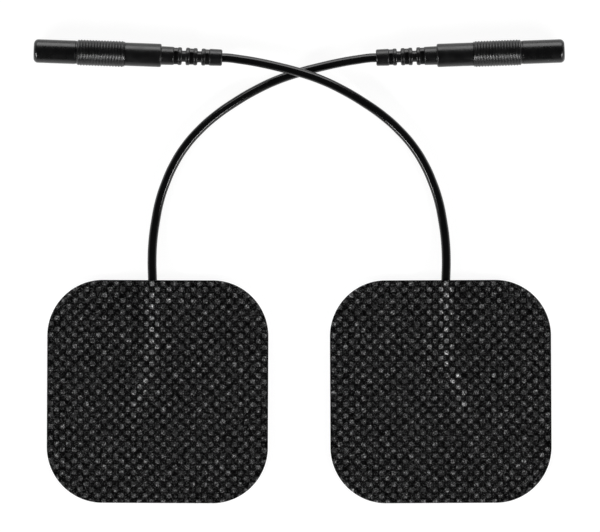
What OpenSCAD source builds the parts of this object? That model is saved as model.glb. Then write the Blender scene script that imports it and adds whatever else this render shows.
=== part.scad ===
// A pair of self-adhesive electrode pads for nerve stimulation. Each pad is a stack of
// die-cut layers on a release liner, and has a lead that crosses the other pad's lead and
// ends in a moulded socket for a 2 mm pin.
// X runs along the pair, Y from the pads towards the sockets, and Z up. The origin is
// midway between the pads, on the surface that they lie on. Left and right name the pad:
// the right pad is at +X, and its lead ends in the socket at -X. All sizes are in mm.

/* [Pads] */
// Side of each square pad
pad_size = 50; // [44:0.5:52]
// Corner radius of each pad
pad_corner = 13; // [3:0.5:18]
// Distance between the centres of the two pads
pad_pitch = 64; // [60:0.5:80]

/* [Layers] */
// Clear release liner
liner_t = 0.1; // [0.05:0.01:0.3]
// Gel on the skin side of the scrim
skin_gel_t = 0.45; // [0.2:0.05:1]
// Net that holds the gel together
scrim_t = 0.1; // [0.05:0.01:0.2]
// Gel between the scrim and the film
upper_gel_t = 0.35; // [0.2:0.05:1]
// Carbon-filled film that spreads the current
film_t = 0.12; // [0.05:0.01:0.3]
// Fabric backing
backing_t = 0.4; // [0.2:0.05:0.8]
// Tape that holds the bare strands on the film
tape_t = 0.1; // [0.05:0.01:0.2]

/* [Lead] */
// Outside of the lead's jacket
lead_d = 2; // [1.4:0.1:2.4]
// Distance of the lead from the pad's middle line, away from the other pad
lead_offset = 1; // [-4:0.5:4]
// Length of jacket that is held inside the pad
jacket_in_pad = 16; // [8:0.5:20]
// Bare strands that fan out on the film
strand_count = 5; // [3:1:7]
// Thickness of one strand
strand_d = 0.24; // [0.15:0.01:0.3]
// Length of the bare strands
strand_len = 16; // [10:0.5:20]
// Turn of the strands away from the lead's line, in degrees
strand_turn = 18; // [0:1:25]
// Distance between the strands where they leave the jacket
strand_gather = 0.32; // [0.3:0.01:0.4]
// Distance between the strands at their free ends
strand_spread = 0.8; // [0.4:0.05:0.9]
// Slope of the fabric beside the lead, in degrees
flank_angle = 45; // [35:1:60]
// Width of the tape
tape_w = 16; // [12:0.5:18]
// Length of the tape, from the pad's edge
tape_len = 36; // [34:0.5:40]
// Corner radius of the tape
tape_corner = 3; // [1:0.5:5]

/* [Connector] */
// Plain barrel at the mouth
nose_d = 5.3; // [4.6:0.05:5.6]
// Length of the plain barrel
nose_len = 9.4; // [6:0.1:14]
// Rounding of the barrel's front edge
nose_round = 1; // [0.3:0.05:1.2]
// Ribbed grip, over the crests of the ribs
grip_d = 5.85; // [5.4:0.05:7]
// Length of the ribbed grip
grip_len = 11.1; // [8:0.1:16]
// Number of ribs round the grip
rib_count = 16; // [6:1:18]
// Depth of the grooves between the ribs
rib_depth = 0.2; // [0.05:0.05:0.3]
// Plain band at each end of the ribs
grip_end = 0.3; // [0.2:0.05:1]
// Barrel behind the grip
rear_d = 5.25; // [4.6:0.05:5.6]
// Length of the barrel behind the grip
rear_len = 8.2; // [6:0.1:12]
// Chamfer on the rear barrel's back edge
rear_chamfer = 0.35; // [0.1:0.05:0.4]
// Boot where it leaves the rear barrel
boot_d = 4.2; // [3.9:0.05:4.4]
// Boot at the tail, where the lead comes out
tail_d = 3.7; // [3.4:0.05:3.9]
// Length of the boot
boot_len = 13.7; // [12.5:0.1:18]
// Cross slots that let the boot bend
slot_count = 5; // [1:1:5]
// Width of a slot along the boot
slot_w = 0.85; // [0.4:0.05:1]
// Distance from one slot to the next
slot_pitch = 1.76; // [1.5:0.01:2]
// Distance from the rear barrel to the middle of the first slot
slot_start = 3.3; // [2:0.1:4]
// Distance from the axis to the floor of a slot
slot_floor = 1.25; // [1.15:0.05:1.4]
// Turn of each connector out of line with the pair, in degrees
connector_turn = 2.1; // [0:0.1:6]

/* [Contact] */
// Bore that takes the pin
socket_d = 2.05; // [2.02:0.01:2.1]
// Depth of the bore
socket_depth = 12; // [8:0.1:12.5]
// Outside of the contact tube
contact_d = 3; // [2.7:0.05:3.2]
// Distance from the connector's tip to the contact's mouth
contact_recess = 1.2; // [0.5:0.1:2]
// Hole in the tip that the pin goes through
entry_d = 2.5; // [2.4:0.05:2.6]
// Width of the slits that make the contact springy
slit_w = 0.3; // [0.15:0.05:0.4]
// Length of the slits
slit_len = 7; // [3:0.1:7.5]
// Outside of the barrel that is crimped on the conductor
crimp_d = 2.1; // [1.8:0.05:2.4]
// Length of the crimp barrel
crimp_len = 4.2; // [3:0.1:5]
// Bundle of strands inside the lead
conductor_d = 1.1; // [0.7:0.05:1.2]
// Length of conductor inside the crimp barrel
conductor_in_crimp = 3.5; // [1:0.1:4]
// Spigot of the housing, inside the grip
spigot_d = 4; // [3.7:0.05:4.3]
// Plug on the rear barrel that shuts the contact in
plug_len = 1.6; // [0.8:0.1:2]
// Length of jacket that is held inside the connector
jacket_in_boot = 18; // [13:0.1:19]

/* [Fits] */
// Room round the lead's jacket where it is held
lead_gap = 0.05; // [0.02:0.01:0.1]
// Room between parts that are moulded or stuck together
fit_gap = 0.02; // [0.01:0.01:0.05]

/* [Hidden] */
$fn = 64;

// Underside of each layer, and the top of the film that the wire lies on
skin_gel_z = liner_t;
scrim_z = skin_gel_z + skin_gel_t;
upper_gel_z = scrim_z + scrim_t;
film_z = upper_gel_z + upper_gel_t;
film_top = film_z + film_t;

// The lead inside the pad: its line, its height over the film and the end of its jacket
pad_edge = pad_size / 2;
lead_x = pad_pitch / 2 + lead_offset;
lead_rise = lead_gap + lead_d / 2;
lead_z = film_top + lead_rise;
jacket_end = pad_edge - jacket_in_pad;
// The strands come down to the film before the rise over the jacket does
strand_rise = lead_gap + strand_d / 2;
strand_drop_len = 0.7 * lead_d;
fan_half = strand_spread * (strand_count - 1) / 2 + strand_d / 2;

// How far each face over the wire stands off from it
tape_inner = lead_gap;
tape_outer = tape_inner + tape_t;
backing_inner = tape_outer + fit_gap;
backing_outer = backing_inner + backing_t;

// The connector's stations, from the tail of its boot to its tip
rear_z = boot_len;
grip_z = rear_z + rear_len;
nose_z = grip_z + grip_len;
tip_z = nose_z + nose_len;
contact_z = grip_z + plug_len;
mouth_z = tip_z - contact_recess;
rib_pitch = (grip_len - 2 * grip_end) / rib_count;
bite = 1;

// The tail of the right pad's boot, at the height at which the grip rests on the table
tail = [-17.3, 75.1, grip_d / 2];
connector_way = [-cos(connector_turn), sin(connector_turn), 0];

// The lead's middle line from the pad's edge to the boot, as [x, y]. It is the right
// lead's, and the left lead's is its mirror image.
ROUTE = [
    [33.1, 29.5], [32.9, 34], [32.3, 38.5], [31.4, 42.9], [30, 47.1], [28.2, 51.1],
    [25.7, 55.1], [22.5, 58.8], [18.8, 62.1], [14.5, 65.1], [9.9, 67.8], [5, 70.1],
    [0, 71.8], [-5, 73.1], [-9.6, 74.1], [-13.3, 74.7], [-16, 75.05],
];
// Height of the middle line at each of those points. The left lead stays on the table and
// the right one passes over it in a long low hump.
LEFT_HEIGHTS = [
    1.8, 1.3, 1, 1, 1, 1, 1, 1, 1, 1, 1, 1, 1, 1.2, 1.9, 2.6, 2.9,
];
RIGHT_HEIGHTS = [
    1.8, 1.3, 1, 1, 1, 1, 1, 1.1, 1.4, 1.9, 2.5, 3.1, 3.4, 3.4, 3.2, 3, 2.95,
];
lead_sides = 8;
strand_sides = 6;

// Points of one lead: held in the pad, free on the table, and held in the boot
function lead_points(heights) = concat(
    [for (k = [0:3]) [lead_x, jacket_end + jacket_in_pad * k / 3, lead_z]],
    [for (i = [0:len(ROUTE) - 1]) [ROUTE[i][0], ROUTE[i][1], heights[i]]],
    [for (k = [0:3]) tail + connector_way * jacket_in_boot * k / 3]
);

// Points of one strand: out of the jacket, down to the film, then out in the fan
function fan_point(side, along, rise) = [
    lead_x + cos(strand_turn) * side + sin(strand_turn) * along,
    jacket_end + sin(strand_turn) * side - cos(strand_turn) * along,
    film_top + rise,
];
function strand_points(place) = concat(
    [
        [lead_x + place * strand_gather, jacket_end, lead_z],
        [lead_x + place * strand_gather, jacket_end - lead_d / 4, lead_z],
    ],
    [
        for (k = [0:4])
            let (share = k / 4, along = strand_drop_len * (1 - share) + strand_len * share)
            fan_point(place * (strand_gather * (1 - share) + strand_spread * share),
                along, strand_rise)
    ]
);

// One ring of a tube round each of its points, square to the way the line goes there
function unit(v) = v / norm(v);
function heading(points, i) =
    unit(points[min(i + 1, len(points) - 1)] - points[max(i - 1, 0)]);
function ring(centre, way, radius, sides) =
    let (across = unit(cross(way, [0, 0, 1])), up = cross(across, way))
    [for (k = [0:sides - 1])
        centre + radius * (cos(360 * k / sides) * across + sin(360 * k / sides) * up)];

module tube(points, diameter, sides) {
    last = (len(points) - 1) * sides;
    polyhedron(
        [for (i = [0:len(points) - 1]) each ring(points[i], heading(points, i), diameter / 2, sides)],
        concat(
            [[for (k = [0:sides - 1]) k]],
            [for (i = [0:len(points) - 2], k = [0:sides - 1], half = [0, 1])
                let (a = i * sides + k, b = i * sides + (k + 1) % sides)
                half == 0 ? [a, a + sides, b] : [b, a + sides, b + sides]],
            [[for (k = [sides - 1:-1:0]) last + k]]
        )
    );
}

// ---- The pad. It is drawn for the right pad ----

module rounded_rectangle(width, length, corner) {
    square([width - 2 * corner, length], center = true);
    square([width, length - 2 * corner], center = true);
    for (x = [-1, 1], y = [-1, 1])
        translate([x * (width / 2 - corner), y * (length / 2 - corner)]) circle(corner);
}

module layer(height, thickness)
    translate([pad_pitch / 2, 0, height])
        linear_extrude(thickness) rounded_rectangle(pad_size, pad_size, pad_corner);

// Half of the tent that a sheet makes over the jacket: a round top and a straight flank
module tent_half(stand_off) {
    r = lead_d / 2 + stand_off;
    shoulder = [r * sin(flank_angle), lead_rise + r * cos(flank_angle)];
    foot = shoulder[0] + shoulder[1] / tan(flank_angle);
    polygon([[0, 0], [foot, 0], shoulder, [0, shoulder[1]]]);
    intersection() {
        translate([0, lead_rise]) circle(r);
        translate([0, shoulder[1]]) square([shoulder[0], r]);
    }
}

module jacket_tent(stand_off) {
    translate([lead_x, pad_edge, film_top]) rotate([90, 0, 0])
        linear_extrude(jacket_in_pad) {
            tent_half(stand_off);
            mirror([1, 0, 0]) tent_half(stand_off);
        }
    translate([lead_x, jacket_end, film_top]) rotate_extrude() tent_half(stand_off);
}

// The low rise over the fan of bare strands
module strand_tent(stand_off) {
    top = fan_half + stand_off;
    rise = strand_d + lead_gap + stand_off;
    foot = top + rise / tan(flank_angle);
    translate([lead_x, jacket_end, film_top]) rotate([0, 0, strand_turn]) {
        rotate([90, 0, 0]) linear_extrude(strand_len)
            polygon([[-foot, 0], [foot, 0], [top, rise], [-top, rise]]);
        translate([0, -strand_len, 0]) cylinder(h = rise, r1 = foot, r2 = top);
    }
}

module tape_sheet()
    translate([lead_x + tape_w / 8, pad_edge - tape_len / 2, film_top])
        linear_extrude(tape_t) {
            rounded_rectangle(tape_w, tape_len, tape_corner);
            translate([-tape_w / 2, 0]) square([tape_w, tape_len / 2]);
        }

module release_liner() color("aliceblue") layer(0, liner_t);

module skin_gel() color("lightcyan") layer(skin_gel_z, skin_gel_t);

module gel_scrim() color("white") layer(scrim_z, scrim_t);

module upper_gel() color("lightcyan") layer(upper_gel_z, upper_gel_t);

module carbon_film() color([0.06, 0.06, 0.06]) layer(film_z, film_t);

module wire_strands() color("silver")
    for (i = [0:strand_count - 1])
        tube(strand_points(i - (strand_count - 1) / 2), strand_d, strand_sides);

module wire_tape() color("whitesmoke")
    difference() {
        union() {
            tape_sheet();
            jacket_tent(tape_outer);
            strand_tent(tape_outer);
        }
        jacket_tent(tape_inner);
        strand_tent(tape_inner);
    }

module backing() color([0.12, 0.12, 0.12])
    difference() {
        union() {
            layer(film_top, backing_t);
            jacket_tent(backing_outer);
            strand_tent(backing_outer);
        }
        tape_sheet();
        jacket_tent(backing_inner);
        strand_tent(backing_inner);
    }

module lead(heights) color([0.03, 0.03, 0.03])
    tube(lead_points(heights), lead_d, lead_sides);

// ---- The connector. It is turned round its own axis, from the tail up to the tip ----

module at_tail()
    translate(tail) rotate([0, 0, 180 - connector_turn]) rotate([0, 90, 0]) children();

module bored(radius, from, to)
    translate([0, 0, from]) cylinder(h = to - from, r = radius);

// Cross slots in the boot. Each faces two ways, and the next one is turned by 90 degrees.
module boot_slots()
    for (i = [0:slot_count - 1], face = [0, 180])
        translate([0, 0, rear_z - slot_start - i * slot_pitch]) rotate([0, 0, face + 90 * (i % 2)])
            translate([slot_floor, -boot_d / 2, -slot_w / 2]) cube([boot_d, boot_d, slot_w]);

module strain_relief() color([0.07, 0.07, 0.07]) at_tail()
    difference() {
        union() {
            cylinder(h = boot_len, r1 = tail_d / 2, r2 = boot_d / 2);
            translate([0, 0, rear_z])
                cylinder(h = rear_chamfer, r1 = rear_d / 2 - rear_chamfer, r2 = rear_d / 2);
            bored(rear_d / 2, rear_z + rear_chamfer, grip_z);
            bored(contact_d / 2, grip_z, contact_z);
        }
        boot_slots();
        bored(lead_d / 2 + lead_gap, -bite, jacket_in_boot);
        bored(conductor_d / 2 + fit_gap, jacket_in_boot, contact_z + bite);
    }

// Outline of the grip: a crest and a groove for each rib, with a plain band at each end
function rib_outline() = [
    for (i = [0:rib_count - 1]) let (z = grip_z + grip_end + i * rib_pitch) each [
        [grip_d / 2, z],
        [grip_d / 2, z + rib_pitch * 0.3],
        [grip_d / 2 - rib_depth, z + rib_pitch * 0.5],
        [grip_d / 2 - rib_depth, z + rib_pitch * 0.8],
    ]
];

module grip_sleeve() color([0.1, 0.1, 0.1]) at_tail()
    rotate_extrude() polygon(concat(
        [[spigot_d / 2 + fit_gap, grip_z], [grip_d / 2, grip_z]],
        rib_outline(),
        [
            [grip_d / 2, nose_z - grip_end],
            [nose_d / 2, nose_z],
            [spigot_d / 2 + fit_gap, nose_z],
        ]
    ));

module nose_outline() {
    translate([0, nose_z]) square([nose_d / 2, nose_len - nose_round]);
    translate([0, nose_z]) square([nose_d / 2 - nose_round, nose_len]);
    translate([nose_d / 2 - nose_round, tip_z - nose_round]) intersection() {
        circle(nose_round);
        square(nose_round);
    }
}

module socket_housing() color([0.07, 0.07, 0.07]) at_tail()
    difference() {
        union() {
            rotate_extrude() nose_outline();
            bored(spigot_d / 2, grip_z, nose_z);
        }
        bored(contact_d / 2 + fit_gap, grip_z - bite, mouth_z);
        bored(entry_d / 2, mouth_z, tip_z + bite);
    }

module socket_contact() color("goldenrod") at_tail()
    difference() {
        union() {
            bored(crimp_d / 2, contact_z, contact_z + crimp_len);
            bored(contact_d / 2, contact_z + crimp_len, mouth_z);
        }
        bored(socket_d / 2, mouth_z - socket_depth, mouth_z + bite);
        bored(conductor_d / 2 + fit_gap, contact_z - bite, contact_z + crimp_len);
        translate([-slit_w / 2, -contact_d, mouth_z - slit_len])
            cube([slit_w, 2 * contact_d, slit_len + bite]);
    }

module conductor_end() color("orangered") at_tail()
    bored(conductor_d / 2, jacket_in_boot, contact_z + conductor_in_crimp);

module on_left() mirror([1, 0, 0]) children();

on_left() release_liner();  // left_release_liner
on_left() skin_gel();  // left_skin_gel
on_left() gel_scrim();  // left_gel_scrim
on_left() upper_gel();  // left_upper_gel
on_left() carbon_film();  // left_carbon_film
on_left() wire_strands();  // left_wire_strands
on_left() wire_tape();  // left_wire_tape
on_left() backing();  // left_backing
on_left() lead(LEFT_HEIGHTS);  // left_lead
on_left() strain_relief();  // left_strain_relief
on_left() grip_sleeve();  // left_grip_sleeve
on_left() socket_housing();  // left_socket_housing
on_left() socket_contact();  // left_socket_contact
on_left() conductor_end();  // left_conductor_end
release_liner();  // right_release_liner
skin_gel();  // right_skin_gel
gel_scrim();  // right_gel_scrim
upper_gel();  // right_upper_gel
carbon_film();  // right_carbon_film
wire_strands();  // right_wire_strands
wire_tape();  // right_wire_tape
backing();  // right_backing
lead(RIGHT_HEIGHTS);  // right_lead
strain_relief();  // right_strain_relief
grip_sleeve();  // right_grip_sleeve
socket_housing();  // right_socket_housing
socket_contact();  // right_socket_contact
conductor_end();  // right_conductor_end
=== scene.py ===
"""A pair of stimulation electrode pads with crossing leads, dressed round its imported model."""

import math

import bmesh
import bpy
from bpy.props import FloatProperty, FloatVectorProperty, IntProperty, PointerProperty
from mathutils import Matrix, Vector, noise


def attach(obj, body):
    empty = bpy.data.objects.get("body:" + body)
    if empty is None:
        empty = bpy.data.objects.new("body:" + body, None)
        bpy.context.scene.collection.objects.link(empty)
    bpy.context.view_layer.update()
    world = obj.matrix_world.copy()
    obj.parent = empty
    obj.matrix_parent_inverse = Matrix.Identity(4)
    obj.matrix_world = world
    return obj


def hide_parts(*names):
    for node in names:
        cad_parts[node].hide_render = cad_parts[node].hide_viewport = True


bl_info = {
    "name": "Electrode Pad Pair",
    "version": (1, 0, 0),
    "blender": (4, 5, 0),
    "location": "View3D > Sidebar > Electrodes",
    "description": "Makes a pair of lined electrode pads with moulded pin sockets",
    "category": "Object",
}

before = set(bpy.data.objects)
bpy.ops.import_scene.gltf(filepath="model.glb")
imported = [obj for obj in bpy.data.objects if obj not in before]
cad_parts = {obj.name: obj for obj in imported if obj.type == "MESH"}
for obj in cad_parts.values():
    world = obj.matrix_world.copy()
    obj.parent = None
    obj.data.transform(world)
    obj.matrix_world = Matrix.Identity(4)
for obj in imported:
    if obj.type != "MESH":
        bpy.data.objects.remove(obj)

MM = 0.001
SIDES = {"left": -1, "right": 1}

# ---- Places and sizes that follow the solids, in millimetres and degrees ----

PAD_SIZE = 50.0
FILM_TOP = 1.12
PLATE_TOP = 1.52
LEAD_X = 33.0
LEAD_RISE = 1.05
JACKET_END = 9.0
JACKET_IN_PAD = 16.0
JACKET_IN_BOOT = 18.0
STRAND_TURN = 18.0
STRAND_LENGTH = 16.0
TAIL = (17.3, 75.1, 2.925)
CONNECTOR_TURN = 2.1
ROUTE = [
    (33.1, 29.5), (32.9, 34), (32.3, 38.5), (31.4, 42.9), (30, 47.1), (28.2, 51.1),
    (25.7, 55.1), (22.5, 58.8), (18.8, 62.1), (14.5, 65.1), (9.9, 67.8), (5, 70.1),
    (0, 71.8), (-5, 73.1), (-9.6, 74.1), (-13.3, 74.7), (-16, 75.05),
]
LAID = 1.04  # height of a lead's middle line where it lies on the floor
HEIGHTS = {
    "left": [1.8, 1.3] + [LAID] * 11 + [1.2, 1.9, 2.6, 2.9],
    "right": [1.8, 1.3] + [LAID] * 5 + [1.1, 1.4, 1.9, 2.5, 3.1, 3.4, 3.4, 3.2, 3, 2.95],
}

# Stations along the connector, from the end where the lead goes in
BOOT_END = 13.7
BARREL_END = 21.9
PLUG_END = 23.5
GRIP_END = 33.0
MOUTH = 41.2
TIP = 42.4

# Radii of the connector
TAIL_RADIUS = 1.85
BOOT_RADIUS = 2.1
BARREL_RADIUS = 2.625
GRIP_RADIUS = 2.925
NOSE_RADIUS = 2.65
SPIGOT_RADIUS = 2.0
PLUG_RADIUS = 1.5
CONDUCTOR_BORE = 0.56
JACKET_BORE = 1.05
ENTRY_BORE = 1.25
CONTACT_BORE = 1.52
SPIGOT_BORE = 2.02

# Slots across the boot: each one's middle, and whether it is turned to the sides
SLOT_FLOOR = 1.25
SLOT_HALF = 0.425
SLOT_REACH = 0.8  # from a slot's middle to where its eased edges end
SLOTS = [(BOOT_END - 3.3 - 1.76 * k, k % 2) for k in range(5)]
SLOT_STEPS = [0.0, 0.3, 0.4, SLOT_HALF - 0.01, SLOT_HALF, 0.45, 0.5, 0.57, 0.66, 0.76, 0.88]

# ---- The fabric and layers as they are cut, within the die's tolerance of the solids ----

CUT_MIDDLE = 31.86
CUT_HALF = (24.88, 25.08)
CUT_CORNER = 12.6
BOND_MIDDLE = -0.22  # of the bond point nearest the middle of the pad, along the pad
BOND_TURN = 0.27  # of the fabric on its pad, in degrees
RIM = 0.008  # share of the cut's half width over which its rim is drawn down
RIM_DROP = 0.07
FED = 0.25  # how far the rows beside the ridge are drawn towards it

# How far each face stands off the jacket, and its low rise over the strands
UPPER_FACE = {"stand_off": 0.57, "fan_half": 1.9, "fan_rise": 0.86}
LOWER_FACE = {"stand_off": 0.17, "fan_half": 1.8, "fan_rise": 0.46}

# Lower and upper side of each layer, its inset from the cut, and the rounding of its edge
LINER = (0.0, 0.095, 0.0, 0.02)
SKIN_SIDE_GEL = (0.105, 0.545, 0.06, 0.16)
NET = (0.555, 0.645, 0.15)
FILM_SIDE_GEL = (0.655, 0.995, 0.06, 0.12)
CARBON_SHEET = (1.005, 1.115, 0.02, 0.02)

# ---- The stage, in metres ----

CAMERA = (0.00019, 0.02826, 2.0)
VIEW_WIDTH = 0.13512  # that the camera sees on the floor
SENSOR = 36  # in millimetres
FLOOR_HALF = 4.0
FLOOR_Z = -0.00004
FLOOR_GLOW = 0.9  # where the floor is seen; the lamps add the rest, less the shadow
FLOOR_SHARE = 0.17
LIT_MIDDLE = (0, 0.03, 0)


# ---- Settings that a user would change ----


class ElectrodeLeadSettings(bpy.types.PropertyGroup):
    """Sizes and colours of the two leads"""

    diameter: FloatProperty(
        name="Lead Diameter", description="Across the lead's jacket",
        default=0.00205, min=0.001, max=0.004, unit="LENGTH",
    )
    colour: FloatVectorProperty(
        name="Jacket Colour", description="Colour of the glossy jacket",
        default=(0.003, 0.003, 0.0032), size=3, min=0, max=1, subtype="COLOR",
    )
    roughness: FloatProperty(
        name="Jacket Roughness", description="How blurred the jacket's reflections are",
        default=0.16, min=0, max=1, subtype="FACTOR",
    )


class ElectrodeFabricSettings(bpy.types.PropertyGroup):
    """Sizes and colours of the bonded fabric"""

    pitch_across: FloatProperty(
        name="Bond Pitch Across", description="From one bond point to the next in its row",
        default=0.00267, min=0.001, max=0.01, unit="LENGTH",
    )
    pitch_along: FloatProperty(
        name="Bond Pitch Along", description="From one row to the next but one",
        default=0.00258, min=0.001, max=0.01, unit="LENGTH",
    )
    press: FloatProperty(
        name="Bond Depth", description="How deep a bond point is pressed into the fabric",
        default=0.00013, min=0, max=0.0005, unit="LENGTH",
    )
    cells: IntProperty(
        name="Cells", description="Mesh cells along each side of the fabric",
        default=196, min=20, max=220,
    )
    # Painted glint colour: the loose fibres are near black, and only their bright flecks reach this
    # colour
    fibre: FloatVectorProperty(
        name="Fibre Colour", description="Colour of the loose fibres",
        default=(0.09, 0.09, 0.091), size=3, min=0, max=1, subtype="COLOR",
    )
    # Painted glint colour: the bond points are near black, and only their brightest flecks reach this
    # colour
    bond: FloatVectorProperty(
        name="Bond Colour", description="Colour of the melted bond points",
        default=(0.44, 0.44, 0.444), size=3, min=0, max=1, subtype="COLOR",
    )


class ElectrodeLayerSettings(bpy.types.PropertyGroup):
    """Colours of the layers under the fabric"""

    liner: FloatVectorProperty(
        name="Liner Colour", description="Tint of the clear release liner",
        default=(0.76, 0.82, 0.86), size=3, min=0, max=1, subtype="COLOR",
    )
    gel: FloatVectorProperty(
        name="Gel Colour", description="Tint of the wet gel",
        default=(0.82, 0.88, 0.9), size=3, min=0, max=1, subtype="COLOR",
    )
    net: FloatVectorProperty(
        name="Net Colour", description="Colour of the net inside the gel",
        default=(0.92, 0.93, 0.93), size=3, min=0, max=1, subtype="COLOR",
    )
    net_pitch: FloatProperty(
        name="Net Pitch", description="From one thread of the net to the next",
        default=0.0013, min=0.0006, max=0.005, unit="LENGTH",
    )
    film: FloatVectorProperty(
        name="Film Colour", description="Colour of the conductive film",
        default=(0.03, 0.03, 0.03), size=3, min=0, max=1, subtype="COLOR",
    )
    strands: FloatVectorProperty(
        name="Strand Colour", description="Colour of the bare strands on the film",
        default=(0.7, 0.7, 0.72), size=3, min=0, max=1, subtype="COLOR",
    )
    tape: FloatVectorProperty(
        name="Tape Colour", description="Colour of the tape over the strands",
        default=(0.85, 0.85, 0.84), size=3, min=0, max=1, subtype="COLOR",
    )


class ElectrodeConnectorSettings(bpy.types.PropertyGroup):
    """Sizes and colours of the moulded connectors"""

    colour: FloatVectorProperty(
        name="Moulding Colour", description="Colour of the satin moulded parts",
        default=(0.003, 0.003, 0.0032), size=3, min=0, max=1, subtype="COLOR",
    )
    roughness: FloatProperty(
        name="Moulding Roughness", description="How blurred the moulding's reflections are",
        default=0.29, min=0, max=1, subtype="FACTOR",
    )
    ribs: IntProperty(
        name="Ribs", description="Ribs round the grip", default=16, min=4, max=30,
    )
    rib_depth: FloatProperty(
        name="Rib Depth", description="How deep the grooves between the ribs are",
        default=0.0002, min=0, max=0.0005, unit="LENGTH",
    )
    brass: FloatVectorProperty(
        name="Contact Colour", description="Colour of the turned contact",
        default=(0.78, 0.62, 0.3), size=3, min=0, max=1, subtype="COLOR",
    )
    copper: FloatVectorProperty(
        name="Conductor Colour", description="Colour of the conductor crimped in the contact",
        default=(0.8, 0.45, 0.3), size=3, min=0, max=1, subtype="COLOR",
    )


class ElectrodeStageSettings(bpy.types.PropertyGroup):
    """Floor and lamps"""

    floor: FloatVectorProperty(
        name="Floor Colour", description="Colour of the plain floor",
        default=(0.92, 0.92, 0.92), size=3, min=0, max=1, subtype="COLOR",
    )
    strip_power: FloatProperty(
        name="Strip Lamp Power", description="Power of each of the two thin strip lamps",
        default=7.0, min=0, max=100, unit="POWER",
    )
    broad_power: FloatProperty(
        name="Broad Lamp Power", description="Power of the broad lamp behind the sockets",
        default=11.0, min=0, max=200, unit="POWER",
    )


# ---- Helpers for meshes ----


def clamped(value):
    """The value, kept from 0 to 1."""
    return min(1.0, max(0.0, value))


def connector_place(side):
    """Where a connector stands: its own +Z runs from the tail to the tip, and +X is up."""
    turn = math.radians(CONNECTOR_TURN)
    way = Vector((-side * math.cos(turn), math.sin(turn), 0))
    up = Vector((0, 0, 1))
    place = Matrix((up, way.cross(up), way)).transposed().to_4x4()
    place.translation = Vector((-side * TAIL[0], TAIL[1], TAIL[2])) * MM
    return place


def rounded(corners, segments=6):
    """A closed outline through the corners (radius, station, rounding), in millimetres."""
    outline = []
    for i, (radius, station, rounding) in enumerate(corners):
        here = Vector((radius, station))
        if not rounding:
            outline.append(tuple(here))
            continue
        back = (Vector(corners[i - 1][:2]) - here).normalized()
        ahead = (Vector(corners[(i + 1) % len(corners)][:2]) - here).normalized()
        half = back.angle(ahead) / 2
        centre = here + (back + ahead).normalized() * rounding / math.sin(half)
        first = here + back * rounding / math.tan(half) - centre
        last = here + ahead * rounding / math.tan(half) - centre
        for k in range(segments + 1):
            spoke = first.lerp(last, k / segments).normalized() * rounding
            outline.append(tuple(centre + spoke))
    return outline


def turned(outline, steps):
    """A mesh spun from a closed outline of (radius, station), in millimetres."""
    bm = bmesh.new()
    points = [bm.verts.new((radius * MM, 0, station * MM)) for radius, station in outline]
    edges = [bm.edges.new(pair) for pair in zip(points, points[1:] + points[:1])]
    bmesh.ops.spin(
        bm, geom=points + edges, cent=(0, 0, 0), axis=(0, 0, 1), dvec=(0, 0, 0),
        angle=2 * math.pi, steps=steps, use_merge=True,
    )
    return bm


def finished(bm, name, body, material, stands_for, crease=38):
    """Closes the mesh, points its faces outwards, and puts it on its body."""
    bmesh.ops.remove_doubles(bm, verts=bm.verts, dist=1e-7)
    bmesh.ops.recalc_face_normals(bm, faces=bm.faces)
    for face in bm.faces:
        face.smooth = True
    for edge in bm.edges:
        edge.smooth = len(edge.link_faces) == 2 and edge.calc_face_angle() < math.radians(crease)
    mesh = bpy.data.meshes.new(name)
    bm.to_mesh(mesh)
    bm.free()
    piece = bpy.data.objects.new(name, mesh)
    bpy.context.scene.collection.objects.link(piece)
    mesh.materials.append(material)
    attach(piece, body)
    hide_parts(*stands_for)
    return piece


def dress(node_name, material):
    """Gives a solid that stays its material."""
    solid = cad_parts[node_name]
    solid.data.materials.clear()
    solid.data.materials.append(material)


# ---- Helpers for materials ----


def add(tree, kind, inputs=None, **settings):
    """A new node with its settings, and its inputs linked or set."""
    made = tree.nodes.new(kind)
    for key, value in settings.items():
        setattr(made, key, value)
    for key, value in (inputs or {}).items():
        if isinstance(value, bpy.types.NodeSocket):
            tree.links.new(value, made.inputs[key])
        else:
            made.inputs[key].default_value = value
    return made


def sums(tree, operation, first, second=0.0, third=0.0):
    """The result of a Math node on sockets or numbers."""
    return add(tree, "ShaderNodeMath", {0: first, 1: second, 2: third}, operation=operation).outputs[0]


def ranged(tree, value, low, high, to_low=0.0, to_high=1.0):
    """The value carried softly from one range to another, and held at its ends."""
    made = add(
        tree, "ShaderNodeMapRange",
        {"Value": value, "From Min": low, "From Max": high, "To Min": to_low, "To Max": to_high},
        interpolation_type="SMOOTHSTEP",
    )
    return made.outputs["Result"]


def blended(tree, factor, first, second):
    """A colour between two, each a socket or a colour."""
    made = tree.nodes.new("ShaderNodeMix")
    made.data_type = "RGBA"
    for index, value in ((0, factor), (6, first), (7, second)):
        if isinstance(value, bpy.types.NodeSocket):
            tree.links.new(value, made.inputs[index])
        elif index == 0:
            made.inputs[index].default_value = value
        else:
            made.inputs[index].default_value = (*value, 1)
    return made.outputs[2]


def grain(tree, coordinates, scale, detail=3.0, roughness=0.6):
    """Noise from about 0.3 to 0.7, with so many features to the millimetre."""
    made = add(
        tree, "ShaderNodeTexNoise",
        {"Vector": coordinates, "Scale": scale, "Detail": detail, "Roughness": roughness},
    )
    return made.outputs["Fac"]


def specks(tree, coordinates, scale, power):
    """Small separate flecks, each as bright as chance has it, and most of them dull."""
    cells = add(
        tree, "ShaderNodeTexVoronoi", {"Vector": coordinates, "Scale": scale, "Randomness": 1.0}
    )
    chance = add(tree, "ShaderNodeSeparateColor", {0: cells.outputs["Color"]}).outputs[0]
    inside = ranged(tree, cells.outputs["Distance"], 0.35, 0.85, 1.0, 0.4)
    return sums(tree, "MULTIPLY", sums(tree, "POWER", chance, power), inside)


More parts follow.
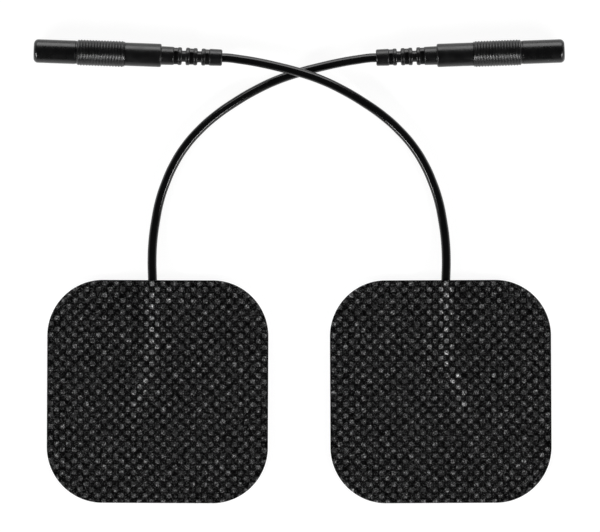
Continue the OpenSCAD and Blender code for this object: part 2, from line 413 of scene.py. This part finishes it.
def started(name):
    """A new material, its tree, its shader and its Object coordinates in millimetres."""
    material = bpy.data.materials.new(name)
    material.use_nodes = True
    tree = material.node_tree
    shader = next(n for n in tree.nodes if n.type == "BSDF_PRINCIPLED")
    place = add(tree, "ShaderNodeTexCoord").outputs["Object"]
    in_mm = add(tree, "ShaderNodeMapping", {"Vector": place, "Scale": (1000, 1000, 1000)}).outputs[0]
    return material, tree, shader, in_mm


def bumped(tree, shader, height, distance, strength):
    """Roughens the shader's normal with a height, whose full range is so many metres deep."""
    bump = add(
        tree, "ShaderNodeBump", {"Height": height, "Distance": distance, "Strength": strength}
    )
    tree.links.new(bump.outputs["Normal"], shader.inputs["Normal"])


def scaled(colour, factor):
    """The colour, brighter or darker."""
    return tuple(min(1.0, c * factor) for c in colour)


def jacket_material(settings):
    """Glossy jacket: a faint bumpy grain, dust and hazy patches."""
    material, tree, shader, in_mm = started("glossy_jacket")
    haze = grain(tree, in_mm, 0.35, 2)
    dust = ranged(tree, grain(tree, in_mm, 6, 4, 0.7), 0.62, 0.78)
    base = blended(tree, dust, tuple(settings.colour), scaled(settings.colour, 3.0))
    tree.links.new(base, shader.inputs["Base Color"])
    rough = ranged(tree, haze, 0.3, 0.7, settings.roughness * 0.8, settings.roughness * 1.3)
    tree.links.new(rough, shader.inputs["Roughness"])
    shader.inputs["IOR"].default_value = 1.42
    bumped(tree, shader, grain(tree, in_mm, 2.2, 3), 0.00001, 0.5)
    return material


def moulded_material(name, colour, roughness, coarse):
    """Satin moulded rubber or plastic: fine grain, haze and a little dust."""
    material, tree, shader, in_mm = started(name)
    fine = grain(tree, in_mm, 7, 4, 0.65)
    haze = grain(tree, in_mm, 0.5, 3)
    dust = ranged(tree, grain(tree, in_mm, 5, 5, 0.75), 0.6, 0.8)
    base = blended(tree, dust, colour, scaled(colour, 2.6))
    tree.links.new(base, shader.inputs["Base Color"])
    rough = ranged(tree, haze, 0.3, 0.7, roughness * 0.85, roughness * 1.2)
    tree.links.new(rough, shader.inputs["Roughness"])
    shader.inputs["IOR"].default_value = 1.45
    bumped(tree, shader, fine, coarse, 0.6)
    return material


def bond_mask(tree, settings, side, in_mm):
    """Ragged bond points in staggered rows: 1 on a melted point and 0 between them."""
    place = next(n for n in tree.nodes if n.type == "TEX_COORD").outputs["Object"]
    scale = Vector((2 * math.pi / settings.pitch_across, 2 * math.pi / settings.pitch_along, 1))
    turn = bond_turn(side)
    centre = Matrix.Rotation(-turn, 3, "Z") @ bond_centre(side)
    lattice = add(
        tree, "ShaderNodeMapping", {"Vector": place, "Location": -centre, "Rotation": (0, 0, -turn)}
    ).outputs[0]
    split = add(tree, "ShaderNodeSeparateXYZ", {0: lattice})
    slid = add(tree, "ShaderNodeAttribute", attribute_name="slid").outputs["Fac"]
    fed = sums(tree, "ADD", split.outputs[0], slid)
    across = sums(tree, "COSINE", sums(tree, "MULTIPLY", fed, scale.x))
    along = sums(tree, "COSINE", sums(tree, "MULTIPLY", split.outputs[1], scale.y))
    wave = sums(tree, "MULTIPLY", across, along)
    ragged = grain(tree, in_mm, 1.9, 3, 0.75)
    return ranged(tree, sums(tree, "MULTIPLY_ADD", ragged, 0.6, wave), 0.34, 1.0)


def fabric_material(settings, name, side):
    """Point-bonded fabric: melted bond points in rows, with matted fibres between them."""
    material, tree, shader, in_mm = started(f"bonded_fabric_{name}")
    mask = bond_mask(tree, settings, side, in_mm)
    drift = add(tree, "ShaderNodeTexNoise", {"Vector": in_mm, "Scale": 1.7, "Detail": 2.0})
    drifted = add(
        tree, "ShaderNodeVectorMath", {0: in_mm, 1: drift.outputs["Color"]}, operation="ADD"
    ).outputs[0]
    # Speck patterns that roughen the fabric's relief and, in its colour, paint glints on the bond points
    # and fibres
    flecks_and_glints = specks(tree, drifted, 4.3, 6.0)
    fluff_and_glints = specks(tree, drifted, 5.0, 6.0)
    patch = ranged(tree, grain(tree, in_mm, 0.45, 2), 0.3, 0.7, 0.84, 1.16)
    # Painted highlight: the bond points' colour is brightened up to about three times over the lead,
    # along the strands and on the ridge's foot towards the other pad
    highlight_share = add(tree, "ShaderNodeAttribute", attribute_name="painted_highlight").outputs["Fac"]
    shine = sums(tree, "MULTIPLY", sums(tree, "MULTIPLY_ADD", flecks_and_glints, 0.95, 0.05), patch)
    # Painted glints: fibres and bond points are near black, and only their bright flecks reach the fibre
    # and bond colours; the coat adds real gloss on the bond points
    fibre = blended(tree, fluff_and_glints, scaled(settings.fibre, 0.003), tuple(settings.fibre))
    bond = blended(tree, shine, scaled(settings.bond, 0.01), tuple(settings.bond))
    bond_with_highlight = add(
        tree, "ShaderNodeVectorMath",
        {0: bond, "Scale": sums(tree, "MULTIPLY_ADD", highlight_share, 2.1, 1.0)}, operation="SCALE",
    ).outputs[0]
    tree.links.new(blended(tree, mask, fibre, bond_with_highlight), shader.inputs["Base Color"])
    tree.links.new(ranged(tree, mask, 0.0, 1.0, 0.85, 0.6), shader.inputs["Roughness"])
    tree.links.new(sums(tree, "MULTIPLY", mask, shine), shader.inputs["Coat Weight"])
    shader.inputs["Specular IOR Level"].default_value = 0.02
    shader.inputs["Coat Roughness"].default_value = 0.32
    shader.inputs["Coat IOR"].default_value = 1.5
    bumped(tree, shader, sums(tree, "MULTIPLY_ADD", flecks_and_glints, 0.5, fluff_and_glints), 0.00008, 0.7)
    return material


def clear_material(name, colour, roughness, ior, cloud, dull):
    """Clear film or gel with faint clouds, which are that much duller and rougher."""
    material, tree, shader, in_mm = started(name)
    cloudy = ranged(tree, grain(tree, in_mm, cloud, 4, 0.6), 0.4, 0.75)
    base = blended(tree, cloudy, colour, scaled(colour, dull))
    tree.links.new(base, shader.inputs["Base Color"])
    rough = ranged(tree, cloudy, 0, 1, roughness, roughness * 1.8)
    tree.links.new(rough, shader.inputs["Roughness"])
    shader.inputs["IOR"].default_value = ior
    shader.inputs["Transmission Weight"].default_value = 0.85
    bumped(tree, shader, grain(tree, in_mm, 0.6, 2), 0.00003, 0.4)
    return material


def matt_material(name, colour, roughness, scale, depth):
    """Matt film, tape or thread with its own fine grain."""
    material, tree, shader, in_mm = started(name)
    fine = grain(tree, in_mm, scale, 4, 0.65)
    base = blended(tree, ranged(tree, fine, 0.35, 0.7), scaled(colour, 0.8), colour)
    tree.links.new(base, shader.inputs["Base Color"])
    tree.links.new(
        ranged(tree, fine, 0.3, 0.7, roughness * 0.85, roughness * 1.1), shader.inputs["Roughness"]
    )
    bumped(tree, shader, fine, depth, 0.6)
    return material


def metal_material(name, colour, roughness, lines):
    """Turned or drawn metal with fine lines and a little tarnish."""
    material, tree, shader, in_mm = started(name)
    drawn = add(
        tree, "ShaderNodeMapping", {"Vector": in_mm, "Scale": (lines, 1.0, 1.0)}
    ).outputs[0]
    fine = grain(tree, drawn, 3, 4, 0.6)
    tarnish = ranged(tree, grain(tree, in_mm, 0.9, 4, 0.6), 0.4, 0.7)
    base = blended(tree, tarnish, colour, scaled(colour, 0.72))
    tree.links.new(base, shader.inputs["Base Color"])
    tree.links.new(
        ranged(tree, tarnish, 0, 1, roughness, roughness * 1.6), shader.inputs["Roughness"]
    )
    shader.inputs["Metallic"].default_value = 1.0
    bumped(tree, shader, fine, 0.000006, 0.5)
    return material


# ---- The fabric's shape ----


def bond_turn(side):
    """How far the fabric is turned on its pad."""
    return side * math.radians(BOND_TURN)


def bond_centre(side):
    """The bond point nearest the middle of a pad."""
    return Vector((side * CUT_MIDDLE * MM, BOND_MIDDLE * MM, 0))


def outline_share(across, along, half, corner):
    """How far out the rounded square lies in the direction of a point on the unit square."""
    x, y = abs(across), abs(along)
    inner = half - corner
    if half * min(x, y) <= inner:
        return half
    reach = (x + y) * inner
    length = x * x + y * y
    return (reach + math.sqrt(reach * reach - length * (2 * inner * inner - corner * corner))) / length


def softer_max(first, second, soft):
    """The larger of the two, rounded off where they are closer than soft."""
    share = max(soft - abs(first - second), 0) / soft
    return max(first, second) + share * share * soft / 4


def tent_height(distance, stand_off):
    """Height over the film of the ridge that far from the lead's own line."""
    radius = 1.0 + stand_off
    if distance < radius * math.sqrt(0.5):
        return LEAD_RISE + math.sqrt(radius * radius - distance * distance)
    return LEAD_RISE + math.sqrt(2) * radius - distance


def from_jacket(x, y):
    """Distance of a point of the right pad from the jacket's line, which stops at its end."""
    return math.hypot(x - LEAD_X, min(0.0, y - JACKET_END))


def on_strands(x, y):
    """How far a point of the right pad is along the strands, and how far across them."""
    turn = math.radians(STRAND_TURN)
    beside, past = x - LEAD_X, y - JACKET_END
    along = beside * math.sin(turn) - past * math.cos(turn)
    return along, beside * math.cos(turn) + past * math.sin(turn)


def ridge_height(x, y, stand_off, fan_half, fan_rise):
    """Height over the film of the ridge over the jacket and over the strands."""
    along, across = on_strands(x, y)
    past = max(0.0, along - STRAND_LENGTH, -along)
    fan = fan_rise - max(0.0, math.hypot(across, past) - fan_half)
    return softer_max(tent_height(from_jacket(x, y), stand_off), fan, 0.5)


def feed(x, y):
    """How far the rows are drawn towards the ridge, which takes up more cloth than its width."""
    beside = x - LEAD_X
    held = clamped((y - JACKET_END + 6) / 8)
    taken = FED * clamped((abs(beside) - 0.4) / 2.6)
    given = FED * clamped((abs(beside) - 3.0) / 6.0)
    return math.copysign(taken - given, beside) * held


def ridge_highlight(x, y):
    """How much painted highlight the fabric's colour takes, from 0 where it lies flat to 1 over the
    lead, less along the strands and on the ridge's foot on the side towards the other pad.
    """
    over = max(0.0, 1 - (from_jacket(x, y) / 1.6) ** 4)
    along, across = on_strands(x, y)
    fan = max(0.0, 1 - (across / 1.4) ** 4) * clamped((STRAND_LENGTH + 3 - along) / 7)
    fan *= clamped(along / 1.5)
    foot = max(0.0, 1 - ((x - LEAD_X + 3.7) / 1.1) ** 2) * clamped((y - JACKET_END + 3) / 4)
    return max(over, 0.8 * fan, 0.6 * foot)


def fabric_top(x, y, settings, side):
    """Height of the fabric's upper face at a point of the right pad, in millimetres."""
    plate = PLATE_TOP - FILM_TOP
    height = softer_max(plate, ridge_height(x, y, **UPPER_FACE), 0.9)
    spot = Matrix.Rotation(-bond_turn(1), 3, "Z") @ (Vector((x, y, 0)) * MM - bond_centre(1))
    wave = math.cos(2 * math.pi * (spot.x + feed(x, y) * MM) / settings.pitch_across)
    wave *= math.cos(2 * math.pi * spot.y / settings.pitch_along)
    where = Vector((side * x, y, 0))
    wave += 0.3 * noise.noise(where * 1.1)
    pressed = clamped((wave - 0.1) / 0.65)
    pressed = pressed * pressed * (3 - 2 * pressed)
    loft = 0.035 * noise.noise(where * 1.9) + 0.04 * noise.noise(where * 0.35)
    return FILM_TOP + height + 0.04 + loft - pressed * settings.press / MM


def fabric_under(x, y):
    """Height of the fabric's lower face at a point of the right pad, in millimetres."""
    return FILM_TOP + softer_max(0.01, ridge_height(x, y, **LOWER_FACE), 0.3)


def fabric_mesh(settings, side):
    """The fabric: a fine grid brought to the rounded square, its twin below, and a cut rim."""
    bm = bmesh.new()
    # Share of painted highlight over the ridge, which the fabric's colour reads
    painted_highlight = bm.verts.layers.float.new("painted_highlight")
    slid = bm.verts.layers.float.new("slid")
    top = bmesh.ops.create_grid(
        bm, x_segments=settings.cells, y_segments=settings.cells, size=1.0
    )["verts"]
    turn = Matrix.Rotation(bond_turn(1), 2)
    half = PAD_SIZE / 2
    copied = bmesh.ops.duplicate(bm, geom=bm.verts[:] + bm.edges[:] + bm.faces[:])
    under = [v for v in copied["geom"] if isinstance(v, bmesh.types.BMVert)]
    bmesh.ops.reverse_faces(bm, faces=[f for f in copied["geom"] if isinstance(f, bmesh.types.BMFace)])
    rim = [e for e in bm.edges if e.is_boundary]
    bmesh.ops.bridge_loops(bm, edges=rim)
    for verts, lower in ((top, False), (under, True)):
        for vert in verts:
            level = max(abs(vert.co.x), abs(vert.co.y))
            spot = Vector((0, 0))
            if level > 1e-6:
                across, along = vert.co.x / level, vert.co.y / level
                far = level * outline_share(across, along, half, CUT_CORNER) / half
                spot = turn @ Vector((across * far * CUT_HALF[0], along * far * CUT_HALF[1]))
            x, y = CUT_MIDDLE + spot.x, spot.y
            if lower:
                height = fabric_under(x, y)
            else:
                height = fabric_top(x, y, settings, side)
                height -= RIM_DROP * max(0.0, level - 1 + RIM) / RIM
            vert[painted_highlight] = ridge_highlight(x, y)
            vert[slid] = side * feed(x, y) * MM
            vert.co = Vector((side * x, y, height)) * MM
    return bm


def layer_mesh(side, low, high, inset, edge):
    """A flat layer with rounded corners and a softened edge."""
    bm = bmesh.new()
    half = (CUT_HALF[0] - inset) * MM
    bmesh.ops.create_grid(bm, x_segments=1, y_segments=1, size=half)
    bmesh.ops.bevel(
        bm, geom=bm.verts[:], offset=(CUT_CORNER - inset) * MM, offset_type="OFFSET", segments=24,
        profile=0.5, affect="VERTICES", material=-1,
    )
    bmesh.ops.remove_doubles(bm, verts=bm.verts, dist=1e-6)
    upper = bmesh.ops.extrude_face_region(bm, geom=bm.faces[:])
    bmesh.ops.translate(
        bm, vec=(0, 0, (high - low) * MM),
        verts=[v for v in upper["geom"] if isinstance(v, bmesh.types.BMVert)],
    )
    if edge:
        corners = [
            e for e in bm.edges
            if abs(e.verts[0].co.z - e.verts[1].co.z) < 1e-9 and len(e.link_faces) == 2
            and e.calc_face_angle() > 1
        ]
        bmesh.ops.bevel(
            bm, geom=corners, offset=edge * MM, offset_type="OFFSET", segments=3, profile=0.5,
            affect="EDGES", clamp_overlap=True, material=-1,
        )
    bmesh.ops.rotate(bm, verts=bm.verts, cent=(0, 0, 0), matrix=Matrix.Rotation(bond_turn(side), 3, "Z"))
    bmesh.ops.translate(bm, verts=bm.verts, vec=(side * CUT_MIDDLE * MM, 0, low * MM))
    return bm


def net_mesh(side, settings, low, high, inset):
    """The net in the gel: crossing threads, cut to the pad's outline."""
    bm = bmesh.new()
    half = (CUT_HALF[0] - inset) * MM
    corner = (CUT_CORNER - inset) * MM
    cells = round(2 * half / settings.net_pitch)
    bmesh.ops.create_grid(bm, x_segments=cells, y_segments=cells, size=half)
    for k in range(24):
        angle = math.radians(7.5 + 15 * k)
        out = Vector((math.cos(angle), math.sin(angle), 0))
        signs = Vector((math.copysign(1, out.x), math.copysign(1, out.y), 0))
        bmesh.ops.bisect_plane(
            bm, geom=bm.verts[:] + bm.edges[:] + bm.faces[:], dist=1e-8,
            plane_co=signs * (half - corner) + out * corner, plane_no=out,
            clear_outer=True, clear_inner=False,
        )
    bmesh.ops.dissolve_degenerate(bm, edges=bm.edges, dist=2e-5)
    bmesh.ops.wireframe(
        bm, faces=bm.faces, thickness=(high - low) * MM, offset=0, use_replace=True,
        use_boundary=True, use_even_offset=False,
    )
    middle = sum(v.co.z for v in bm.verts) / len(bm.verts)
    bmesh.ops.rotate(bm, verts=bm.verts, cent=(0, 0, 0), matrix=Matrix.Rotation(bond_turn(side), 3, "Z"))
    bmesh.ops.translate(
        bm, verts=bm.verts, vec=(side * CUT_MIDDLE * MM, 0, (low + high) / 2 * MM - middle)
    )
    return bm


# ---- The connector's shapes ----


def boot_radius(station):
    """The boot's radius at a station, which grows from the tail to the barrel."""
    return TAIL_RADIUS + (BOOT_RADIUS - TAIL_RADIUS) * station / BOOT_END


def cut_slots(bm):
    """Brings the boot's skin in to the floors of its slots, with their edges eased."""
    for vert in bm.verts:
        station = vert.co.z / MM
        radius = math.hypot(vert.co.x, vert.co.y) / MM
        if radius < 1.2 or station > BOOT_END - 0.5:
            continue
        middle, to_sides = min(SLOTS, key=lambda slot: abs(slot[0] - station))
        apart = abs(station - middle)
        out = abs(vert.co.y if to_sides else vert.co.x) / MM / radius
        eased = max(0.0, SLOT_REACH - max(apart, SLOT_HALF)) / (SLOT_REACH - SLOT_HALF)
        drop = (1 - math.sqrt(max(0.0, 1 - eased ** 2.4))) * (0.16 + 0.24 * clamped((out - 0.35) / 0.4))
        shrink = (radius - drop) / radius
        x, y = vert.co.x * shrink, vert.co.y * shrink
        if apart < SLOT_HALF - 0.005:
            limit = (SLOT_FLOOR + 0.05 * max(0.0, apart - 0.3) / 0.1) * MM
            if to_sides:
                y = max(-limit, min(limit, y))
            else:
                x = max(-limit, min(limit, x))
        vert.co.x, vert.co.y = x, y


def strain_relief_mesh():
    """Rear barrel and boot, bored for the lead, with slots cut from alternate sides."""
    stations = sorted(
        {round(middle + way * step, 4) for middle, _ in SLOTS for step in SLOT_STEPS for way in (1, -1)}
        | {0.9, 1.6, 2.2, 11.6, 12.4, 13.0},
        reverse=True,
    )
    corners = [
        (CONDUCTOR_BORE, PLUG_END, 0), (PLUG_RADIUS, PLUG_END, 0.12), (PLUG_RADIUS, BARREL_END, 0),
        (BARREL_RADIUS, BARREL_END, 0.1), (BARREL_RADIUS, BOOT_END, 0.35),
        (boot_radius(BOOT_END), BOOT_END, 0.15),
    ]
    corners += [(boot_radius(station), station, 0) for station in stations]
    corners += [
        (boot_radius(0), 0, 0.35), (JACKET_BORE, 0, 0.08), (JACKET_BORE, JACKET_IN_BOOT, 0),
        (CONDUCTOR_BORE, JACKET_IN_BOOT, 0),
    ]
    bm = turned(rounded(corners), 72)
    cut_slots(bm)
    return bm


def grip_mesh(settings):
    """Ribbed sleeve, open through the middle for the housing's spigot."""
    band = 0.3
    depth = settings.rib_depth / MM
    pitch = (GRIP_END - BARREL_END - 2 * band) / settings.ribs
    outline = [
        (SPIGOT_BORE, BARREL_END), (GRIP_RADIUS - 0.28, BARREL_END),
        (GRIP_RADIUS - 0.1, BARREL_END + 0.07),
    ]
    wave = ((0, 1), (0.06, 0.72), (0.1, 0.62), (0.39, 0.1), (0.43, 0.03), (0.5, 0))
    wave += tuple((1 - share, fall) for share, fall in wave[-2:0:-1])
    for rib in range(settings.ribs):
        for share, fall in wave:
            station = BARREL_END + band + pitch * (rib + share)
            lower = 0.22 * max(0.0, (station - (GRIP_END - 0.75)) / 0.45)
            outline.append((GRIP_RADIUS - depth * fall - lower, station))
    outline += [
        (GRIP_RADIUS - depth - 0.16, GRIP_END - band), (2.62, GRIP_END - 0.08), (2.5, GRIP_END),
        (SPIGOT_BORE, GRIP_END),
    ]
    return turned(outline, 80)


def housing_mesh():
    """Plain nose barrel, hollow for the contact, with its spigot inside the grip."""
    shoulder = GRIP_END + 0.005
    return turned(rounded([
        (CONTACT_BORE, BARREL_END, 0), (SPIGOT_RADIUS, BARREL_END, 0.1),
        (SPIGOT_RADIUS, shoulder, 0), (NOSE_RADIUS, shoulder, 0.12), (NOSE_RADIUS, TIP, 1.0),
        (ENTRY_BORE, TIP, 0.12), (ENTRY_BORE, MOUTH, 0), (CONTACT_BORE, MOUTH, 0),
    ], 8), 80)


# ---- Operators ----


class ELECTRODE_OT_camera(bpy.types.Operator):
    """Look straight down on the pair"""

    bl_idname = "electrode.camera"
    bl_label = "Camera"

    def execute(self, context):
        data = bpy.data.cameras.new("camera")
        camera = bpy.data.objects.new("camera", data)
        context.scene.collection.objects.link(camera)
        camera.location = CAMERA
        data.lens = SENSOR * CAMERA[2] / VIEW_WIDTH
        data.sensor_width = SENSOR
        data.clip_start, data.clip_end = 0.05, 20
        context.scene.camera = camera
        return {"FINISHED"}


class ELECTRODE_OT_connectors(bpy.types.Operator):
    """Mould the strain reliefs, grips and socket housings"""

    bl_idname = "electrode.connectors"
    bl_label = "Connectors"

    def execute(self, context):
        settings = context.scene.electrode_connectors
        colour, rough = tuple(settings.colour), settings.roughness
        rubber = moulded_material("moulded_rubber", colour, rough * 1.1, 0.00002)
        ribbed = moulded_material("ribbed_rubber", scaled(colour, 1.2), rough, 0.00001)
        shell = moulded_material("moulded_shell", colour, rough * 0.95, 0.00001)
        for name, side in SIDES.items():
            place = connector_place(side)
            for bm, title, material, slot, node in (
                (strain_relief_mesh(), "boot", rubber, "connector", "strain_relief"),
                (grip_mesh(settings), "ribbed_grip", ribbed, "connector", "grip_sleeve"),
                (housing_mesh(), "nose_barrel", shell, "housing", "socket_housing"),
            ):
                bmesh.ops.transform(bm, matrix=place, verts=bm.verts)
                finished(
                    bm, f"{title}_{name}", f"{name}_electrode", material, [f"{name}_{node}"]
                )
        return {"FINISHED"}


class ELECTRODE_OT_contacts(bpy.types.Operator):
    """Finish the brass contacts and the conductors crimped in them"""

    bl_idname = "electrode.contacts"
    bl_label = "Contacts"

    def execute(self, context):
        settings = context.scene.electrode_connectors
        brass = metal_material("turned_brass", tuple(settings.brass), 0.22, 6)
        copper = metal_material("bare_copper", tuple(settings.copper), 0.3, 5)
        for name in SIDES:
            dress(f"{name}_socket_contact", brass)
            dress(f"{name}_conductor_end", copper)
        return {"FINISHED"}


class ELECTRODE_OT_leads(bpy.types.Operator):
    """Lay the two leads from the pads into the boots"""

    bl_idname = "electrode.leads"
    bl_label = "Leads"

    def execute(self, context):
        settings = context.scene.electrode_leads
        material = jacket_material(settings)
        for name, side in SIDES.items():
            place = connector_place(side)
            start = FILM_TOP + LEAD_RISE
            points = [
                Vector((side * LEAD_X, JACKET_END + JACKET_IN_PAD * k / 3, start)) * MM
                for k in range(4)
            ]
            points += [
                Vector((side * x, y, z)) * MM for (x, y), z in zip(ROUTE, HEIGHTS[name])
            ]
            points += [place @ Vector((0, 0, JACKET_IN_BOOT * k / 3 * MM)) for k in range(4)]
            curve = bpy.data.curves.new(f"jacket_{name}", "CURVE")
            curve.dimensions = "3D"
            spline = curve.splines.new("BEZIER")
            spline.bezier_points.add(len(points) - 1)
            for knot, point in zip(spline.bezier_points, points):
                knot.co = point
                knot.handle_left_type = knot.handle_right_type = "AUTO"
            spline.resolution_u = 8
            curve.bevel_depth = settings.diameter / 2
            curve.bevel_resolution = 6
            curve.use_fill_caps = True
            curve.materials.append(material)
            lead = bpy.data.objects.new(f"jacket_{name}", curve)
            context.scene.collection.objects.link(lead)
            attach(lead, f"{name}_electrode")
            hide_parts(f"{name}_lead")
        return {"FINISHED"}


class ELECTRODE_OT_backings(bpy.types.Operator):
    """Make the black fabric backings with their ridges"""

    bl_idname = "electrode.backings"
    bl_label = "Fabric Backings"

    def execute(self, context):
        settings = context.scene.electrode_fabric
        for name, side in SIDES.items():
            bm = fabric_mesh(settings, side)
            material = fabric_material(settings, name, side)
            piece = finished(
                bm, f"fabric_{name}", f"{name}_electrode", material,
                [f"{name}_backing"], 60,
            )
        return {"FINISHED"}


class ELECTRODE_OT_layers(bpy.types.Operator):
    """Make the liners, gels, nets and films under the fabric"""

    bl_idname = "electrode.layers"
    bl_label = "Layers"

    def execute(self, context):
        settings = context.scene.electrode_layers
        liner = clear_material("clear_liner", tuple(settings.liner), 0.1, 1.58, 0.25, 0.86)
        gel = clear_material("wet_gel", tuple(settings.gel), 0.12, 1.37, 1.6, 0.93)
        thread = matt_material("net_thread", tuple(settings.net), 0.6, 9, 0.00001)
        film = matt_material("conductive_film", tuple(settings.film), 0.55, 4, 0.00001)
        for name, side in SIDES.items():
            body = f"{name}_electrode"
            for bm, title, rides_on, material, slot, node in (
                (
                    layer_mesh(side, *LINER), "liner_film", "release_liners", liner, "liner",
                    "release_liner",
                ),
                (layer_mesh(side, *SKIN_SIDE_GEL), "skin_side_gel", body, gel, "gel", "skin_gel"),
                (net_mesh(side, settings, *NET), "gel_net", body, thread, "scrim", "gel_scrim"),
                (layer_mesh(side, *FILM_SIDE_GEL), "film_side_gel", body, gel, "gel", "upper_gel"),
                (layer_mesh(side, *CARBON_SHEET), "carbon_sheet", body, film, "carbon", "carbon_film"),
            ):
                finished(bm, f"{title}_{name}", rides_on, material, [f"{name}_{node}"])
        return {"FINISHED"}


class ELECTRODE_OT_wire_ends(bpy.types.Operator):
    """Finish the bare strands and the tape that holds them"""

    bl_idname = "electrode.wire_ends"
    bl_label = "Strands and Tape"

    def execute(self, context):
        settings = context.scene.electrode_layers
        steel = metal_material("bare_strands", tuple(settings.strands), 0.3, 5)
        tape = matt_material("matt_tape", tuple(settings.tape), 0.7, 5, 0.00001)
        for name in SIDES:
            dress(f"{name}_wire_strands", steel)
            dress(f"{name}_wire_tape", tape)
        return {"FINISHED"}


class ELECTRODE_OT_stage(bpy.types.Operator):
    """Set the plain floor, the lamps and the world"""

    bl_idname = "electrode.stage"
    bl_label = "Stage"

    def execute(self, context):
        settings = context.scene.electrode_stage
        scene = context.scene
        scene.view_settings.view_transform = "Standard"
        bm = bmesh.new()
        bmesh.ops.create_grid(bm, x_segments=1, y_segments=1, size=FLOOR_HALF)
        bmesh.ops.translate(bm, verts=bm.verts, vec=(0, 0, FLOOR_Z))
        mesh = bpy.data.meshes.new("floor")
        bm.to_mesh(mesh)
        bm.free()
        floor = bpy.data.objects.new("floor", mesh)
        scene.collection.objects.link(floor)
        mesh.materials.append(self.floor_material(tuple(settings.floor)))
        # Each lamp's way round from +X, its way down from overhead, its width and its height
        lamps = (
            ("strip_right", -36, 62, 0.62, 0.12, settings.strip_power),
            ("strip_left", 216, 62, 0.62, 0.12, settings.strip_power),
            ("broad", 90, 73, 1.3, 0.6, settings.broad_power),
        )
        for name, azimuth, from_top, width, height, power in lamps:
            data = bpy.data.lights.new(name, "AREA")
            data.shape = "RECTANGLE"
            data.size, data.size_y = width, height
            data.energy = power
            lamp = bpy.data.objects.new(name, data)
            scene.collection.objects.link(lamp)
            a, t = math.radians(azimuth), math.radians(from_top)
            way = Vector((math.sin(t) * math.cos(a), math.sin(t) * math.sin(a), math.cos(t)))
            lamp.location = Vector(LIT_MIDDLE) + way
            lamp.rotation_euler = way.to_track_quat("Z", "Y").to_euler()
            lamp.visible_camera = False
        self.light_world(scene)
        return {"FINISHED"}

    def floor_material(self, colour):
        """Pale floor that shows nearly white to the camera, gloss and glass, and keeps its shadows."""
        material = bpy.data.materials.new("pale_floor")
        material.use_nodes = True
        tree = material.node_tree
        tree.nodes.clear()
        ray = add(tree, "ShaderNodeLightPath").outputs
        direct = sums(tree, "MAXIMUM", ray["Is Camera Ray"], ray["Is Glossy Ray"])
        direct = sums(tree, "MAXIMUM", direct, ray["Is Transmission Ray"])
        glow = add(tree, "ShaderNodeEmission", {"Color": (1, 1, 1, 1), "Strength": FLOOR_GLOW})
        share = (FLOOR_SHARE, FLOOR_SHARE, FLOOR_SHARE, 1)
        thin = add(tree, "ShaderNodeBsdfDiffuse", {"Color": share})
        bright = add(tree, "ShaderNodeAddShader", {0: glow.outputs[0], 1: thin.outputs[0]})
        plain = add(tree, "ShaderNodeBsdfDiffuse", {"Color": (*colour, 1)})
        mixed = add(
            tree, "ShaderNodeMixShader", {0: direct, 1: plain.outputs[0], 2: bright.outputs[0]}
        )
        add(tree, "ShaderNodeOutputMaterial", {"Surface": mixed.outputs[0]})
        return material

    def light_world(self, scene):
        """A plain studio: dim overhead, paler at the walls, and white where it is seen."""
        world = bpy.data.worlds.new("studio")
        scene.world = world
        world.use_nodes = True
        tree = world.node_tree
        shade = next(n for n in tree.nodes if n.type == "BACKGROUND")
        way = add(tree, "ShaderNodeTexCoord").outputs["Generated"]
        split = add(tree, "ShaderNodeSeparateXYZ", {0: way})
        walls = ranged(tree, split.outputs["Z"], 0.0, 0.5, 0.3, 0.03)
        back = ranged(tree, split.outputs["Y"], -0.8, 0.8, 0.5, 1.3)
        level = sums(tree, "MULTIPLY", walls, back)
        ray = add(tree, "ShaderNodeLightPath").outputs
        low = ranged(tree, split.outputs["Z"], 0.02, 0.08, 1.0, 0.0)
        glossed = sums(tree, "MULTIPLY", ray["Is Glossy Ray"], low)
        seen = sums(tree, "MAXIMUM", ray["Is Camera Ray"], ray["Is Transmission Ray"])
        seen = sums(tree, "MAXIMUM", seen, glossed)
        tree.links.new(sums(tree, "MAXIMUM", level, seen), shade.inputs["Color"])
        shade.inputs["Strength"].default_value = 1.0


class ELECTRODE_PT_panel(bpy.types.Panel):
    """Lists what makes the pair of electrode pads"""

    bl_idname = "ELECTRODE_PT_panel"
    bl_label = "Electrode Pads"
    bl_space_type = "VIEW_3D"
    bl_region_type = "UI"
    bl_category = "Electrodes"

    def draw(self, context):
        for group in ("leads", "fabric", "layers", "connectors", "stage"):
            settings = getattr(context.scene, f"electrode_{group}")
            box = self.layout.box()
            for key in settings.bl_rna.properties.keys():
                if key not in ("rna_type", "name"):
                    box.prop(settings, key)
        for operator in OPERATORS:
            self.layout.operator(operator.bl_idname)


GROUPS = {
    "leads": ElectrodeLeadSettings,
    "fabric": ElectrodeFabricSettings,
    "layers": ElectrodeLayerSettings,
    "connectors": ElectrodeConnectorSettings,
    "stage": ElectrodeStageSettings,
}
OPERATORS = (
    ELECTRODE_OT_camera,
    ELECTRODE_OT_connectors,
    ELECTRODE_OT_contacts,
    ELECTRODE_OT_leads,
    ELECTRODE_OT_layers,
    ELECTRODE_OT_wire_ends,
    ELECTRODE_OT_backings,
    ELECTRODE_OT_stage,
)


def register():
    for kind in (*GROUPS.values(), *OPERATORS, ELECTRODE_PT_panel):
        bpy.utils.register_class(kind)
    for name, kind in GROUPS.items():
        setattr(bpy.types.Scene, f"electrode_{name}", PointerProperty(type=kind))


def unregister():
    for name in GROUPS:
        delattr(bpy.types.Scene, f"electrode_{name}")
    for kind in reversed((*GROUPS.values(), *OPERATORS, ELECTRODE_PT_panel)):
        bpy.utils.unregister_class(kind)


def main():
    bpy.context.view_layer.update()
    register()
    bpy.ops.electrode.camera()
    bpy.ops.electrode.connectors()
    bpy.ops.electrode.contacts()
    bpy.ops.electrode.leads()
    bpy.ops.electrode.layers()
    bpy.ops.electrode.wire_ends()
    bpy.ops.electrode.backings()
    bpy.ops.electrode.stage()


if __name__ == "__main__":
    main()
